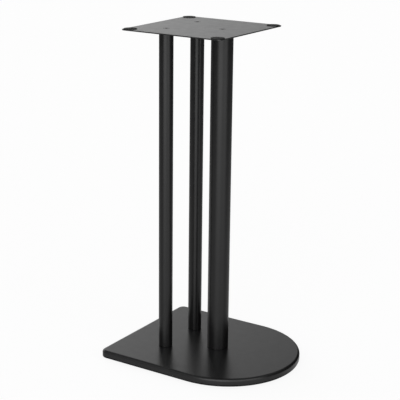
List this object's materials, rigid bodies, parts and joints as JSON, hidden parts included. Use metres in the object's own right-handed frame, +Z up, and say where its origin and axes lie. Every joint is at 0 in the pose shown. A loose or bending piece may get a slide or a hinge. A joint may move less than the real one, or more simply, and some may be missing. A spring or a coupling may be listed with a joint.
{
  "type": "speaker stand",
  "caption": "Floor stand for a bookshelf speaker: D-shaped base board, thick front tube, slim rear tubes, thin top plate with corner pads, low levelling feet.",
  "frame": {"origin": "on the floor, under the centre of the base's outline, with the levelling feet screwed fully in", "axes": "+Z up along the tubes; -Y to the front, the rounded end of the base; +X to the right for someone looking from the front towards +Y"},
  "size_m": [0.269, 0.322, 0.606],
  "materials": {
    "base_lacquer": "black satin lacquer over fibreboard",
    "powder_coat": "fine black powder coat, satin",
    "pad_rubber": "matt moulded",
    "black_steel": "black oxide, lightly oiled",
    "bare_steel": "turned",
    "zinc_steel": "bright zinc plate",
    "brass": "turned and knurled"
  },
  "bodies": {
    "stand": {"base_plate": "base_lacquer", "top_plate": "powder_coat", "front_tube": "powder_coat", "front_tube_top_plug": "bare_steel", "front_tube_base_plug": "bare_steel", "front_top_screw": "black_steel", "front_base_bolt": "black_steel", "front_base_washer": "zinc_steel", "rear_left_tube": "powder_coat", "rear_left_tube_top_plug": "bare_steel", "rear_left_tube_base_plug": "bare_steel", "rear_left_top_screw": "black_steel", "rear_left_base_bolt": "black_steel", "rear_left_base_washer": "zinc_steel", "rear_right_tube": "powder_coat", "rear_right_tube_top_plug": "bare_steel", "rear_right_tube_base_plug": "bare_steel", "rear_right_top_screw": "black_steel", "rear_right_base_bolt": "black_steel", "rear_right_base_washer": "zinc_steel", "pad_front_left": "pad_rubber", "foot_insert_front_left": "brass", "pad_front_right": "pad_rubber", "foot_insert_front_right": "brass", "pad_rear_left": "pad_rubber", "foot_insert_rear_left": "brass", "pad_rear_right": "pad_rubber", "foot_insert_rear_right": "brass"},
    "foot_front_left": {"levelling_foot_front_left": "zinc_steel", "foot_sole_front_left": "pad_rubber"},
    "foot_front_right": {"levelling_foot_front_right": "zinc_steel", "foot_sole_front_right": "pad_rubber"},
    "foot_rear_left": {"levelling_foot_rear_left": "zinc_steel", "foot_sole_rear_left": "pad_rubber"},
    "foot_rear_right": {"levelling_foot_rear_right": "zinc_steel", "foot_sole_rear_right": "pad_rubber"}
  },
  "joints": [
    {"name": "foot_front_left_height", "type": "slide", "parent": "stand", "child": "foot_front_left", "axis": [0, 0, -1], "range_m": [0, 0.005]},
    {"name": "foot_front_right_height", "type": "slide", "parent": "stand", "child": "foot_front_right", "axis": [0, 0, -1], "range_m": [0, 0.005]},
    {"name": "foot_rear_left_height", "type": "slide", "parent": "stand", "child": "foot_rear_left", "axis": [0, 0, -1], "range_m": [0, 0.005]},
    {"name": "foot_rear_right_height", "type": "slide", "parent": "stand", "child": "foot_rear_right", "axis": [0, 0, -1], "range_m": [0, 0.005]}
  ]
}
